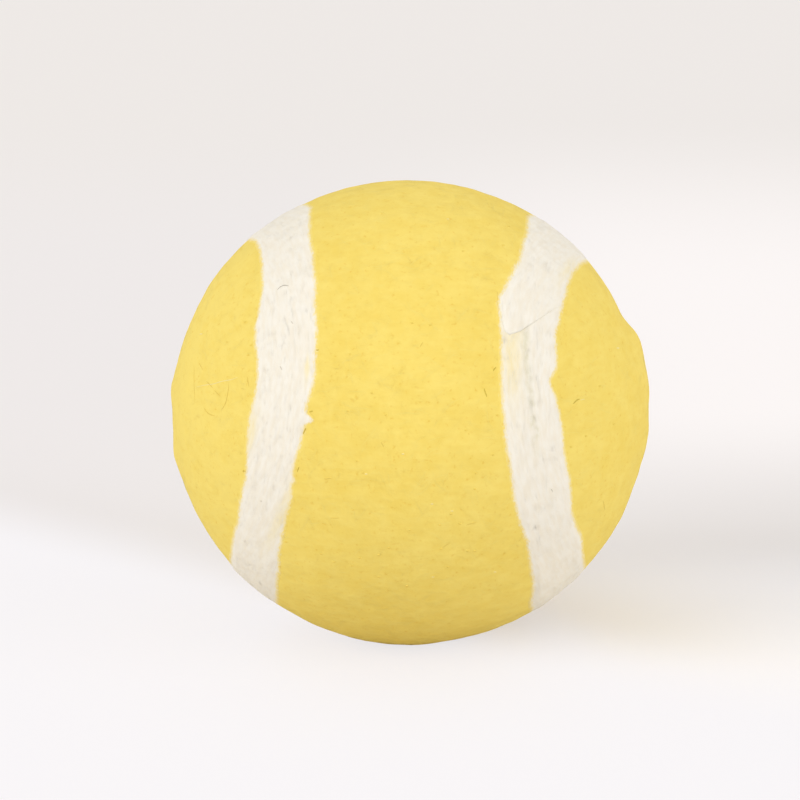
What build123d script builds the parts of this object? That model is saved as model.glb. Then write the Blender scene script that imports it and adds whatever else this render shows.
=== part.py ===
from build123d import *
import os
from math import ceil, cos, degrees, radians, sin, sqrt

# Hand-felted wool ball with a tennis-ball band.
# A tight core of undyed wool carries two crossed wraps of undyed wool and a coat of yellow wool.
# Three strips of cream wool lie in a shallow groove of the coat, along a tennis-ball seam line.
# The first end of each strip lies over the thinned last end of the strip before it.
# Millimetres and degrees. The origin is the middle of the flat that the ball sits on, +Z is up,
# and the waist of the pattern faces -Y.

# The ball
BALL_DIAMETER = 67.0
SITTING_FLAT_DEPTH = 0.5  # wool pressed away where the ball sits

# The wool layers, from the skin inwards
COVER_THICKNESS = 7.0  # yellow coat
CROSS_WRAP_THICKNESS = 6.0  # second undyed wrap
FIRST_WRAP_THICKNESS = 6.0  # first undyed wrap

# The cream band
BAND_WIDTH = 8.0
BAND_DEPTH = 1.6  # how deep the strips are felted into the coat
BAND_CLEARANCE = 0.1  # between a strip's long edge and the groove's wall
LAP_LENGTH = 8.0  # along the band, where one strip lies over another
STRIP_START_SHARES = {  # of the way round the seam line, at the middle of each strip's first lap
    "top_band_strip": 0.03,
    "left_band_strip": 0.29,
    "right_band_strip": 0.71,
}

# The seam line that the band follows, counted in turns from the waist's right side upwards
WAIST_SHARE = 0.27  # of the ball's radius in the line's third harmonic: more narrows the waist
WAIST_LIFT = 25.0  # angle from -Y up to the middle of the waist
WAIST_LEAN = 2.0  # turn of the pattern about the middle of the waist, right side down
EDGE_STEPS = 48  # between points of the band's edges, all the way round

# Room by which a cutting block stands out of what it cuts
CUT_OVERRUN = 1.0

RADIUS = BALL_DIAMETER / 2
CENTRE = Vector(0, 0, RADIUS - SITTING_FLAT_DEPTH)
FULL_TURN = 360.0
QUARTER_TURN = FULL_TURN / 4

# X runs out through the middle of the waist, Y across its narrow way and Z up along the pattern
OUTWARD = Vector(0, -cos(radians(WAIST_LIFT)), sin(radians(WAIST_LIFT)))
UPWARD = Vector(0, sin(radians(WAIST_LIFT)), cos(radians(WAIST_LIFT)))
PATTERN = Plane(CENTRE, x_dir=OUTWARD, z_dir=UPWARD).location * Rot(-WAIST_LEAN, 0, 0)


def seam_point(turn):
    """Point of the seam line on a ball of radius 1."""
    angle = radians(turn)
    main_share = 1 - WAIST_SHARE
    return Vector(
        2 * sqrt(main_share * WAIST_SHARE) * cos(2 * angle),
        main_share * cos(angle) - WAIST_SHARE * cos(3 * angle),
        main_share * sin(angle) + WAIST_SHARE * sin(3 * angle),
    )


def seam_slope(turn):
    """Change of seam_point for each radian of turn."""
    angle = radians(turn)
    main_share = 1 - WAIST_SHARE
    return Vector(
        -4 * sqrt(main_share * WAIST_SHARE) * sin(2 * angle),
        -main_share * sin(angle) + 3 * WAIST_SHARE * sin(3 * angle),
        main_share * cos(angle) + 3 * WAIST_SHARE * cos(3 * angle),
    )


def band_edge(turns, half_width, depth):
    """Line along one edge of the band, at a depth. A negative half width is the other edge."""
    half_angle = half_width / RADIUS  # radians, seen from the ball's centre
    points = []
    for turn in turns:
        middle = seam_point(turn)
        sideways = middle.cross(seam_slope(turn).normalized())
        points.append((middle * cos(half_angle) + sideways * sin(half_angle)) * (RADIUS - depth))
    return Spline(points)


def band_block(first_turn, last_turn, width):
    """Block along a stretch of the seam, standing out of the band above and below."""
    steps = ceil((last_turn - first_turn) / FULL_TURN * EDGE_STEPS)
    turns = [first_turn + (last_turn - first_turn) * step / steps for step in range(steps + 1)]
    top_depth = -CUT_OVERRUN
    floor_depth = BAND_DEPTH + CUT_OVERRUN
    corners = ((-1, top_depth), (1, top_depth), (1, floor_depth), (-1, floor_depth))
    edges = [band_edge(turns, side * width / 2, depth) for side, depth in corners]
    faces = [Face.make_surface_from_curves(edges[i - 1], edges[i]) for i in range(len(edges))]
    for end in (0, 1):
        faces.append(make_face(Polyline([edge @ end for edge in edges], close=True)).face())
    return PATTERN * Solid(Shell(faces))


def ball(depth):
    """Ball whose surface lies at a depth under the skin, with its seam on the front, in the waist."""
    return Pos(CENTRE) * Rot(0, 0, -QUARTER_TURN) * Sphere(RADIUS - depth)


def layer(outer_depth, inner_depth):
    """Hollow ball between two depths under the skin."""
    return ball(outer_depth) - ball(inner_depth)


def lap_turns(start):
    """Turns at which the upper and the lower half of a strip begin."""
    half_lap = degrees(LAP_LENGTH / 2 / (RADIUS * seam_slope(start).length))
    return start - half_lap, start + half_lap


def band_strips():
    """The cream strips by name, half-lapped over each other at their ends."""
    upper_half = layer(0, BAND_DEPTH / 2)
    lower_half = layer(BAND_DEPTH / 2, BAND_DEPTH)
    starts = [share * FULL_TURN for share in STRIP_START_SHARES.values()]
    laps = [lap_turns(start) for start in starts + [starts[0] + FULL_TURN]]
    strips = {}
    for name, (over_start, under_start), (over_end, under_end) in zip(STRIP_START_SHARES, laps, laps[1:]):
        over = band_block(over_start, under_start, BAND_WIDTH) & upper_half
        span = band_block(under_start, over_end, BAND_WIDTH) & layer(0, BAND_DEPTH)
        under = band_block(over_end, under_end, BAND_WIDTH) & lower_half
        strips[name] = over + span + under
    return strips


def yellow_cover():
    """Coat of yellow wool with the band's groove and the flat that the ball sits on."""
    groove_width = BAND_WIDTH + 2 * BAND_CLEARANCE
    groove_floor = layer(0, BAND_DEPTH)
    cover = layer(0, COVER_THICKNESS)
    for quarter in range(4):
        first_turn = (quarter + 1 / 2) * QUARTER_TURN
        cover -= band_block(first_turn, first_turn + QUARTER_TURN, groove_width) & groove_floor
    return split(cover, bisect_by=Plane.XY, keep=Keep.TOP)


def main():
    cross_wrap_depth = COVER_THICKNESS + CROSS_WRAP_THICKNESS
    core_depth = cross_wrap_depth + FIRST_WRAP_THICKNESS
    pieces = {
        "core_ball": ball(core_depth),
        "first_wrap": layer(cross_wrap_depth, core_depth),
        "cross_wrap": layer(COVER_THICKNESS, cross_wrap_depth),
        "yellow_cover": yellow_cover(),
        **band_strips(),
    }
    os.makedirs("parts", exist_ok=True)
    for name, piece in pieces.items():
        export_step(piece, f"parts/{name}.step")
        print(name, "volume", round(piece.volume, 1), "solids", len(piece.solids()))


main()
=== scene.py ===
import math

import bpy
import numpy as np
from mathutils import Matrix, Vector, noise


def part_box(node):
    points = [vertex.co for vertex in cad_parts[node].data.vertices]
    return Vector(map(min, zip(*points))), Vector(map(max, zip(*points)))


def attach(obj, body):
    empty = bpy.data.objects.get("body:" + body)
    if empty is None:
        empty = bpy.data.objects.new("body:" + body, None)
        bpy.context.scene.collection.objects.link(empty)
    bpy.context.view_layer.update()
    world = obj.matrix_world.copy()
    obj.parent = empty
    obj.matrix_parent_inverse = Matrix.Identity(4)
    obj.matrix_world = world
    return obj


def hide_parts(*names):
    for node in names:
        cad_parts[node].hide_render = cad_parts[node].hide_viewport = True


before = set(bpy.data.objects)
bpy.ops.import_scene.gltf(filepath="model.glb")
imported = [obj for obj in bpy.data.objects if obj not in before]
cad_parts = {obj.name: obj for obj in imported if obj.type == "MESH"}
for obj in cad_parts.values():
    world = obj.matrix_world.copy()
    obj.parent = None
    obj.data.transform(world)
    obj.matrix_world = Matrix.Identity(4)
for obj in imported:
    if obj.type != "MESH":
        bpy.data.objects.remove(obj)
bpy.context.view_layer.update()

# Hand-felted wool ball with a tennis-ball band, sitting on pale paper.
# Names that end in _MM are in millimetres, other lengths are in metres. Angles are in degrees
# where no comment says otherwise. +Z is up and the waist of the pattern faces -Y.

MM = 0.001
SEED = 7
SEED_STRIDE = 17.0  # parts the noises of different seeds
SIZE_STRIDE = 31.0  # parts the noises of different sizes

# The ball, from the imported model, and how the felt one differs from it
COVER_LOW, COVER_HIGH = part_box("yellow_cover")
RADIUS_MM = (COVER_HIGH.x - COVER_LOW.x) / 2 / MM
WIDER_MM = 0.4  # half width beyond the true ball
LOWER_MM = 0.5  # half height short of the true ball
SINK_MM = 0.25  # how far the soft ball settles on the paper
ROLL = 5.3  # turn of the flattened ball about the view, right side down
CENTRE = np.array([0.0, 0.0, COVER_HIGH.z - (RADIUS_MM + SINK_MM) * MM])
COAT_MM = 7.0  # thickness of the yellow coat
WRAP_MM = 6.0  # thickness of each undyed wrap
LAYER_GAP_MM = 0.1

# The picture: square, the ball's middle a little right of and below its middle
PICTURE_PIXELS = 800
BALL_PIXEL = (408.6, 411.4)
CAMERA_RISE = 12.0
CAMERA_DISTANCE_MM = 476.0
HALF_VIEW = 0.1204  # tangent of half the angle of view
SENSOR_MM = 36.0
NEAR_CLIP_MM = 10.0

# The band's seam line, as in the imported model, counted in degrees of turn
WAIST_SHARE = 0.27
WAIST_LIFT = 25.0
WAIST_LEAN = 2.0
LAP_SHARES = {"top_band_strip": 0.03, "left_band_strip": 0.29, "right_band_strip": 0.71}
LAP_MM = 8.0
FULL_TURN = 360.0
TURN_STEP = 0.05  # between the places at which the seam line is worked out
SEARCH_STEP = 4  # only every fourth place is tried when the nearest one is looked for
SEARCH_CHUNKS = 40  # keep that search small in memory

# The band's edges: degrees of turn along the seam line, millimetres from the line
INNER_EDGE = (
    (0, 3.2), (5, 3.9), (7.5, 4.6), (9, 4.9), (14, 4.1), (18, 4.0), (23, 4.9), (26, 5.6), (30, 6.9),
    (36, 7.5), (50, 5.4), (75, 4.2), (105, 4.0), (138, 5.0), (146, 8.0), (151, 8.1), (154, 7.2),
    (157, 6.2), (160, 5.3), (166, 4.4), (168, 4.4), (172, 3.6), (178, 3.55), (181, 3.6), (184, 3.35),
    (187, 2.7), (190, 3.0), (197, 3.0), (199, 4.1), (202, 4.2), (207, 5.0), (212, 6.35), (218, 7.4),
    (224, 7.9), (232, 7.4), (250, 4.6), (270, 4.0), (295, 4.6), (308, 7.4), (320, 7.1), (323, 6.1),
    (326, 5.5), (328, 5.3), (330, 4.85), (334, 4.3), (338, 4.35), (342, 4.15), (345, 3.5), (348, 3.75),
    (352, 3.25), (356, 3.5), (360, 3.2),
)
OUTER_EDGE = (
    (0, 4.9), (2, 5.3), (5, 5.0), (8, 4.3), (10, 4.5), (14, 4.3), (17, 4.1), (19, 3.6), (25, 3.3),
    (30, 3.0), (38, 2.5), (60, 3.6), (105, 4.0), (135, 2.6), (145, 0.9), (149, 0.9), (153, 1.1),
    (158, 2.0), (163, 3.1), (167, 4.1), (169, 4.8), (172, 5.7), (175, 6.0), (182, 5.5), (184, 5.75),
    (187, 5.5), (190, 5.85), (194, 5.4), (198, 4.2), (201, 3.3), (206, 2.85), (210, 1.95), (216, 1.3),
    (221, 0.6), (230, 1.0), (250, 3.4), (270, 4.0), (298, 3.4), (312, 2.4), (318, 2.35), (324, 2.85),
    (327, 3.5), (330, 3.3), (333, 3.4), (336, 3.95), (340, 4.9), (344, 5.1), (349, 5.6), (354, 5.2),
    (356, 5.0), (357.5, 4.2), (359, 3.9), (360, 4.9),
)
CORNER_TURNS = (-0.8, -0.4, 0.0, 0.4, 0.8)  # over which the edges' corners are rounded
EDGE_WAVES_MM = ((2.6, 0.18), (0.9, 0.12))  # wave length and height of the ragged edges
WISPS = ((188.3, 1.2, 0.55), (197.0, 0.5, 0.5))  # turn, reach and half width in mm, on the inner edge

# The tongue with which each strip ends on the one before: mm across, mm along from the lap's middle
TONGUE = (
    (-4.8, 4.4), (-3.6, 2.3), (-2.7, 0.5), (-1.5, -1.6), (-0.2, -3.4), (1.1, -4.9), (2.5, -5.8),
    (3.2, -5.5), (3.9, -4.2), (4.8, -2.4), (5.8, -1.0),
)
TONGUE_FADE_MM = 16.0  # along the strip, where its grid straightens out behind the tongue
TONGUE_RISE_MM = 0.08  # how far the tongue stands out
TONGUE_EDGE_MM = 1.8  # from the tongue's end to its full rise
TONGUE_BACK_MM = 7.0  # from the tongue's end to where it begins to sink again
TONGUE_SINK_MM = 9.0  # over which it sinks to the strip's own level
LAP_FEATHER_MM = 1.6  # over which the strip below dives and the tongue thickens
LAP_STEP_MM = 2.0  # behind the lap, over which the strip's underside goes down to the groove
# Parting in the strip under the visible tongue: mm along from the lap's middle, mm across
PARTING = ((-24.0, -0.6), (-19.0, -0.8), (-14.0, -0.9), (-9.5, -0.5), (-5.0, 0.2), (-2.0, 0.6))
PARTING_STRIP = "right_band_strip"
PARTING_DEPTH_MM = 0.08
PARTING_HALF_MM = 0.55
PARTING_WAVES_MM = ((3.0, 0.7), (1.1, 0.4))  # size and height of its wandering
PARTING_OPENS_MM = 6.0  # over which it opens from its first end
PARTING_CLOSES_MM = 2.0  # over which it closes beyond its last end
# Thin cream that the yellow shows through: strip, turn, mm across, half length, half width, share
VEILS = (
    ("right_band_strip", 362.0, 1.9, 6.0, 1.4, 0.45),
    ("left_band_strip", 194.0, -4.9, 4.5, 0.9, 0.50),
    ("left_band_strip", 203.0, 3.6, 6.0, 0.8, 0.40),
    ("left_band_strip", 181.5, 2.4, 1.6, 0.35, 0.50),
    ("top_band_strip", 24.0, -2.4, 5.0, 0.8, 0.30),
)

# Marks on the felt that the picture shows. Threads, creases and hairs are paths of pixels, pits and flecks
# are single pixels. Creases and pits are darker strips of painted shade.
THREAD_STEPS = 6
THREAD_SIDES = 6
THREAD_FLATNESS = 0.4  # height of a thread's section for each width
THREAD_TAPER = 0.8  # share of its width that a thread loses at its ends
THREAD_TAPER_POWER = 4  # more keeps the taper nearer to the ends
MARK_HALF_PIXELS = 1.5  # half length of a pit or fleck
PALE_THREADS = (
    ((196, 387), (205, 385), (214, 384), (222, 381), (231, 380), (238, 377)), ((580, 400), (585, 399)),
)
FELT_CREASES = (
    ((194, 364), (194, 384), (195, 403)), ((199, 363), (203, 370)), ((206, 381), (213, 388)),
    ((214, 390), (220, 396)), ((229, 382), (228, 392), (226, 403), (221, 411)), ((247, 376), (249, 387)),
    ((204, 408), (208, 414), (215, 416)), ((324, 479), (332, 478)), ((420, 347), (423, 342)),
    ((466, 525), (478, 522)), ((442, 548), (451, 542)), ((330, 518), (340, 518)), ((381, 442), (384, 447)),
    ((524, 213), (530, 216)), ((603, 500), (605, 510)),
)
DEEP_CREASES = (
    ((573, 404), (575, 402), (577, 400), (580, 399)), ((484, 388), (485, 392), (487, 397)),
    ((493, 371), (496, 367)), ((316, 350), (319, 350)), ((309, 412), (313, 411)), ((303, 434), (306, 428)),
    ((297, 472), (299, 467)),
)
FELT_PITS = (
    (334, 562), (360, 558), (352, 566), (448, 567), (407, 586), (476, 473), (475, 489), (451, 514),
    (460, 524), (440, 525), (441, 549), (410, 530), (353, 510), (379, 555), (321, 554), (468, 551),
    (379, 577), (389, 548), (493, 455), (357, 461), (363, 473), (286, 542), (412, 323), (350, 354),
    (382, 213), (508, 226), (503, 245), (463, 251), (348, 411), (386, 415), (466, 430), (372, 393),
    (497, 415), (430, 325), (614, 424), (586, 436), (571, 447), (600, 386), (248, 355), (251, 345),
    (245, 322), (244, 471), (475, 551),
)
PALE_FLECKS = (
    (366, 474), (403, 454), (432, 504), (452, 511), (433, 577), (495, 572), (618, 348), (201, 334),
    (448, 219),
)
DARK_HAIRS = (((277, 290), (280, 287), (284, 285), (289, 286)),)
FAINT_HAIRS = (
    ((291, 321), (293, 324)), ((280, 366), (282, 370)), ((551, 489), (553, 492)), ((260, 501), (262, 501)),
)

# Strips and their groove
STRIP_NAMES = {
    "top_band_strip": "cream_strip_top",
    "left_band_strip": "cream_strip_left",
    "right_band_strip": "cream_strip_right",
}
STRIP_DEPTH_MM = 1.2
GROOVE_DEPTH_MM = 1.4
GROOVE_WALL_MM = 0.8  # inwards from the cream's edge, over which the groove gets its depth
MARGIN_MM = 0.7  # film of mixed wool beyond the cream's edge
FILM_MM = 0.05  # height of the film over the coat's skin
RIM_SHARE = 0.7  # thickness of the film's rim for each height of the film
DIVE_MM = 0.08  # how far the film's rim goes under the coat's skin
DIVE_WIDTH_MM = 0.45
CROWN_MM = 0.10
EDGE_RISE_MM = 1.2  # over which a strip rises to its crown from its edge
BELLY_START_MM = 0.1  # inwards from the edge, where the underside begins to go down
BELLY_WIDTH_MM = 1.1  # over which it goes down
VEIL_DIP_MM = 0.1  # how much lower thin cream lies
COMB_SIZE_MM = (9.0, 0.9)  # length and width of the combed ridges
COMB_RIDGES = ((1.0, 0.02), (2.6, 0.04))  # times that size, height in mm
ALONG_STEP_MM = 0.28
ACROSS_STEPS = 46

# Where fibres lie near the cream's edge
FIBRE_FADE_MM = 1.0  # over which fibres get fewer
CREAM_FIBRE_REACH_MM = 0.2  # outwards from the edge, where the cream's fibres begin
YELLOW_FIBRE_CLEAR_MM = 0.4  # outwards from the edge, where the yellow's fibres begin to get fewer

# Lumps of the felt: clock angle from the right, lean towards the camera, spread, height in mm
LUMPS = (
    (8, 6, 8, 0.85), (18, 5, 5, 0.72), (27, 5, 5, -0.42), (-6, 5, 6, 0.48), (175, 5, 4, 0.35),
    (190, 5, 4, 0.35), (165, 5, 12, -0.20), (182, 5, 8, -0.15), (208, 5, 10, -0.08),
    (330, 5, 12, 0.12), (268, 4, 22, 0.28), (140, 40, 18, 0.20), (300, 45, 20, -0.15),
    (20, 55, 16, -0.15), (200, 50, 15, 0.18), (110, 5, 9, 0.12),
)
# Size and height of the felt's unevenness
FELT_WAVES_MM = ((12.0, 0.16), (4.6, 0.09), (1.9, 0.07), (1.0, 0.035))

# Wound layers of undyed wool
WINDING_MM = 1.6  # width of the wound ridges
WINDING_RUN_MM = 14.0  # over which a ridge changes along its way
WINDING_RIDGES = ((1.0, 0.18), (0.4, 0.08))  # times that size, height in mm
WINDING_SINK_MM = 0.5  # keeps the ridges within the layer

# Mesh steps along each edge of a ball's six patches
COAT_STEPS = 126
INNER_STEPS = 24
WRAP_STEPS = 60
MERGE_DIGITS = 6  # decimals to which points of two patches are the same


# Directions, the seam line and the skin


X_AXIS = np.array([1.0, 0.0, 0.0])
Z_AXIS = np.array([0.0, 0.0, 1.0])
POLE_NUDGE = 1e-6 * X_AXIS  # keeps a cross product from vanishing at a pole


def unit(vectors):
    """Vectors of length 1 with the same headings."""
    return vectors / np.linalg.norm(vectors, axis=-1, keepdims=True)


def smooth(values):
    """0 below 0, 1 above 1 and an even bend between."""
    values = np.clip(values, 0.0, 1.0)
    return values * values * (3.0 - 2.0 * values)


def waves(points_mm, sizes, seed=SEED):
    """Sum of soft noises of the given sizes and heights."""
    total = np.zeros(len(points_mm))
    for step, (size, height) in enumerate(sizes):
        shift = seed * SEED_STRIDE + step * SIZE_STRIDE
        places = (points_mm / size + shift).tolist()
        total += height * np.array([noise.noise(Vector(place)) for place in places])
    return total


def camera_axes():
    """Right, up and back of the camera."""
    rise = math.radians(CAMERA_RISE)
    up = np.array([0.0, math.sin(rise), math.cos(rise)])
    back = np.array([0.0, -math.cos(rise), math.sin(rise)])
    return X_AXIS, up, back


RIGHT, UP, BACK = camera_axes()
SHORT_AXIS = np.array([math.sin(math.radians(ROLL)), 0.0, math.cos(math.radians(ROLL))])
HALF_WIDTH_MM = RADIUS_MM + WIDER_MM
FLATTENING_MM = WIDER_MM + LOWER_MM


def pattern_axes():
    """Out through the middle of the waist, across it to the right, and up along the pattern."""
    lift = math.radians(WAIST_LIFT)
    lean = math.radians(WAIST_LEAN)
    outward = np.array([0.0, -math.cos(lift), math.sin(lift)])
    upward = np.array([0.0, math.sin(lift), math.cos(lift)])
    leaned_across = X_AXIS * math.cos(lean) - upward * math.sin(lean)
    leaned_upward = X_AXIS * math.sin(lean) + upward * math.cos(lean)
    return np.array([outward, leaned_across, leaned_upward])


PATTERN = pattern_axes()


def seam(turns):
    """Points of the seam line on a ball of radius 1, their headings and the speed along it."""
    angle = np.radians(turns)
    main_share = 1.0 - WAIST_SHARE
    root = math.sqrt(main_share * WAIST_SHARE)
    points = np.stack([
        2 * root * np.cos(2 * angle),
        main_share * np.cos(angle) - WAIST_SHARE * np.cos(3 * angle),
        main_share * np.sin(angle) + WAIST_SHARE * np.sin(3 * angle),
    ], axis=-1)
    slopes = np.stack([
        -4 * root * np.sin(2 * angle),
        -main_share * np.sin(angle) + 3 * WAIST_SHARE * np.sin(3 * angle),
        main_share * np.cos(angle) + 3 * WAIST_SHARE * np.cos(3 * angle),
    ], axis=-1)
    return points @ PATTERN, unit(slopes @ PATTERN), np.linalg.norm(slopes, axis=-1)


TURNS = np.arange(0.0, FULL_TURN, TURN_STEP)
SEAM_POINTS, SEAM_HEADINGS, SEAM_SPEEDS = seam(TURNS)
SEAM_SIDES = np.cross(SEAM_POINTS, SEAM_HEADINGS)
ARC_STEPS_MM = SEAM_SPEEDS * RADIUS_MM * math.radians(TURNS[1] - TURNS[0])
ARC_MM = np.concatenate([[0.0], np.cumsum(ARC_STEPS_MM)])
BAND_LENGTH_MM = ARC_MM[-1]


def turn_at(arc_mm):
    """Turn at a length along the seam line. Lengths beyond one round go on."""
    rounds = np.floor(arc_mm / BAND_LENGTH_MM)
    rest = arc_mm - rounds * BAND_LENGTH_MM
    return np.interp(rest, ARC_MM, np.append(TURNS, FULL_TURN)) + rounds * FULL_TURN


def arc_at(turn):
    """Length along the seam line at a turn within the first round."""
    return float(np.interp(turn, np.append(TURNS, FULL_TURN), ARC_MM))


def edge_table(stations, seed):
    """Width of the band on one side at every one of TURNS, ragged as hand-laid wool."""
    places, widths = zip(*stations)
    rounded = [np.interp((TURNS + corner) % FULL_TURN, places, widths) for corner in CORNER_TURNS]
    line = np.mean(rounded, axis=0)
    return line + waves(SEAM_POINTS * RADIUS_MM, EDGE_WAVES_MM, seed)


INNER_TABLE = edge_table(INNER_EDGE, SEED + 1)
OUTER_TABLE = edge_table(OUTER_EDGE, SEED + 2)
for wisp_turn, wisp_reach, wisp_half in WISPS:
    wisp_distance = (ARC_MM[:-1] - arc_at(wisp_turn)) / wisp_half
    INNER_TABLE += wisp_reach * np.exp(-wisp_distance ** 2)


def band_edges(turns):
    """Inner and outer half width of the cream at the given turns."""
    inner = np.interp(turns % FULL_TURN, TURNS, INNER_TABLE, period=FULL_TURN)
    outer = np.interp(turns % FULL_TURN, TURNS, OUTER_TABLE, period=FULL_TURN)
    return inner, outer


def band_direction(turns, across_mm):
    """Direction from the ball's middle to a place on the band."""
    points, headings, _ = seam(turns)
    angle = (across_mm / RADIUS_MM)[..., None]
    return points * np.cos(angle) + np.cross(points, headings) * np.sin(angle)


def nearest_on_band(directions):
    """Turn and millimetres across of each direction, measured from the nearest place on the seam line."""
    coarse_points = SEAM_POINTS[::SEARCH_STEP].T
    found = np.concatenate([
        np.argmax(chunk @ coarse_points, axis=1) * SEARCH_STEP
        for chunk in np.array_split(directions, SEARCH_CHUNKS)
    ])
    sideways = np.einsum("ij,ij->i", directions, SEAM_SIDES[found])
    return TURNS[found], np.arcsin(np.clip(sideways, -1.0, 1.0)) * RADIUS_MM


def felt_height(directions):
    """Lumps and unevenness of the felt, in mm."""
    height = waves(directions * RADIUS_MM, FELT_WAVES_MM)
    for clock, lean, spread, lump in LUMPS:
        clock_angle = math.radians(clock)
        lean_angle = math.radians(lean)
        outline = RIGHT * math.cos(clock_angle) + UP * math.sin(clock_angle)
        middle = outline * math.cos(lean_angle) + BACK * math.sin(lean_angle)
        angle = np.degrees(np.arccos(np.clip(directions @ middle, -1.0, 1.0)))
        height += lump * np.exp(-(angle / spread) ** 2)
    return height


def on_skin(directions, raised_mm):
    """Places over or under the lumpy skin of the ball, pressed flat where it sits."""
    along_short = (directions @ SHORT_AXIS)[:, None]
    body = directions * HALF_WIDTH_MM - SHORT_AXIS * along_short * FLATTENING_MM
    raised = (felt_height(directions) + raised_mm)[:, None] * directions
    places = CENTRE + (body + raised) * MM
    places[:, 2] = np.maximum(places[:, 2], 0.0)
    return places


# Meshes


def new_object(name, points, faces, material, attributes=None):
    """Smooth mesh object at the origin, with named values on its points."""
    mesh = bpy.data.meshes.new(name)
    mesh.from_pydata(points.tolist(), [], faces.tolist() if isinstance(faces, np.ndarray) else faces)
    mesh.shade_smooth()
    mesh.materials.append(material)
    for key, values in (attributes or {}).items():
        kind, field = ("FLOAT_VECTOR", "vector") if values.ndim == 2 else ("FLOAT", "value")
        layer = mesh.attributes.new(key, kind, "POINT")
        layer.data.foreach_set(field, values.astype(np.float32).ravel())
    piece = bpy.data.objects.new(name, mesh)
    bpy.context.scene.collection.objects.link(piece)
    return piece


def cube_ball(steps):
    """Directions and quads of a ball made of six even patches, without poles."""
    angle = np.linspace(-math.pi / 4, math.pi / 4, steps + 1)
    across, up = np.meshgrid(np.tan(angle), np.tan(angle), indexing="ij")
    ones = np.ones_like(across)
    sides = (
        (ones, across, up), (-ones, -across, up), (-across, ones, up), (across, -ones, up),
        (-up, across, ones), (up, across, -ones),
    )
    points = np.concatenate([unit(np.stack(side, axis=-1)).reshape(-1, 3) for side in sides])
    index = np.arange((steps + 1) ** 2).reshape(steps + 1, steps + 1)
    quad = np.stack([index[:-1, :-1], index[1:, :-1], index[1:, 1:], index[:-1, 1:]], axis=-1)
    quads = np.concatenate([quad.reshape(-1, 4) + side * index.size for side in range(len(sides))])
    rounded = np.round(points, MERGE_DIGITS)
    _, first, inverse = np.unique(rounded, axis=0, return_index=True, return_inverse=True)
    return points[first], inverse.ravel()[quads]


def shell(outer, inner):
    """Points and quads of a closed layer between two balls, given as (points, quads)."""
    points = np.concatenate([outer[0], inner[0]])
    quads = np.concatenate([outer[1], inner[1][:, ::-1] + len(outer[0])])
    return points, quads


def grain_about(axis, directions):
    """Direction along the skin, round an axis, at each place."""
    return unit(np.cross(axis, directions) + POLE_NUDGE)


# Shading


class Wire:
    """A node's output in a tree. Arithmetic on it adds Math nodes, node() adds any other."""

    def __init__(self, tree, socket=None):
        self.tree = tree
        self.socket = socket

    def node(self, kind, settings, sockets, output=0):
        """One output of a new node, with its settings and the values or wires of its sockets."""
        made = self.tree.nodes.new(kind)
        for key, value in settings.items():
            setattr(made, key, value)
        for key, value in sockets.items():
            if isinstance(value, Wire):
                self.tree.links.new(value.socket, made.inputs[key])
            else:
                made.inputs[key].default_value = value
        return Wire(self.tree, made.outputs[output])

    def other(self, output):
        """Another output of the same node."""
        return Wire(self.tree, self.socket.node.outputs[output])

    def math(self, operation, *values):
        return self.node("ShaderNodeMath", {"operation": operation}, dict(enumerate(values)))

    def vector(self, operation, *values, output=0):
        return self.node("ShaderNodeVectorMath", {"operation": operation}, dict(enumerate(values)), output)

    def scaled(self, factor):
        """This vector or colour times a number."""
        return self.node("ShaderNodeVectorMath", {"operation": "SCALE"}, {0: self, "Scale": factor})

    def mixed(self, factor, first, second):
        """Colour between two colours."""
        return self.node(
            "ShaderNodeMix", {"data_type": "RGBA"}, {"Factor": factor, 6: first, 7: second}, 2
        )

    def __add__(self, other):
        return self.math("ADD", self, other)

    def __radd__(self, other):
        return self.math("ADD", other, self)

    def __sub__(self, other):
        return self.math("SUBTRACT", self, other)

    def __rsub__(self, other):
        return self.math("SUBTRACT", other, self)

    def __mul__(self, other):
        return self.math("MULTIPLY", self, other)

    def __rmul__(self, other):
        return self.math("MULTIPLY", other, self)

    def __truediv__(self, other):
        return self.math("DIVIDE", self, other)

    def __rtruediv__(self, other):
        return self.math("DIVIDE", other, self)

    def __pow__(self, other):
        return self.math("POWER", self, other)


def colour(red, green, blue):
    """Solid colour for a node's socket."""
    return (red, green, blue, 1.0)


YELLOW = colour(0.895, 0.676, 0.14)
YELLOW_PALE = colour(0.937, 0.742, 0.187)
# painted shade in the felt's pits
YELLOW_PIT_SHADE = colour(0.84, 0.58, 0.095)
CREAM = colour(0.905, 0.84, 0.705)
CREAM_PALE = colour(0.935, 0.89, 0.785)
CREAM_DEEP = colour(0.91, 0.85, 0.72)
CREAM_SHADE = colour(0.80, 0.70, 0.53)
# painted grey shade along the parting in the cream
PARTING_SHADE_GREY = colour(0.71, 0.66, 0.45)
FIBRE_DEEP = colour(0.86, 0.62, 0.115)
FIBRE_PALE = colour(0.94, 0.79, 0.27)
FIBRE_WHITE = colour(0.94, 0.90, 0.805)
THREAD_PALE = colour(0.95, 0.80, 0.33)
# painted shade: darker strips laid in the felt's creases and pits
CREASE_PAINTED_SHADE = colour(0.81, 0.605, 0.13)
DEEP_CREASE_PAINTED_SHADE = colour(0.66, 0.49, 0.08)
PIT_PAINTED_SHADE = colour(0.885, 0.672, 0.14)
HAIR_DARK = colour(0.48, 0.44, 0.36)
HAIR_FAINT = colour(0.70, 0.65, 0.54)
UNDYED = colour(0.71, 0.64, 0.52)
UNDYED_SHADE = colour(0.56, 0.49, 0.38)

# How wool takes the light
WOOL_ROUGHNESS = 0.95
WOOL_SPECULAR = 0.15
SHEEN_WEIGHT = 0.26
SHEEN_ROUGHNESS = 0.6
FELT_BUMP_MM = 0.15
FELT_DETAIL = 3.0  # of the felt's noises
MIDDLE_TONE = 0.5  # of a noise that runs from 0 to 1

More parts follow.
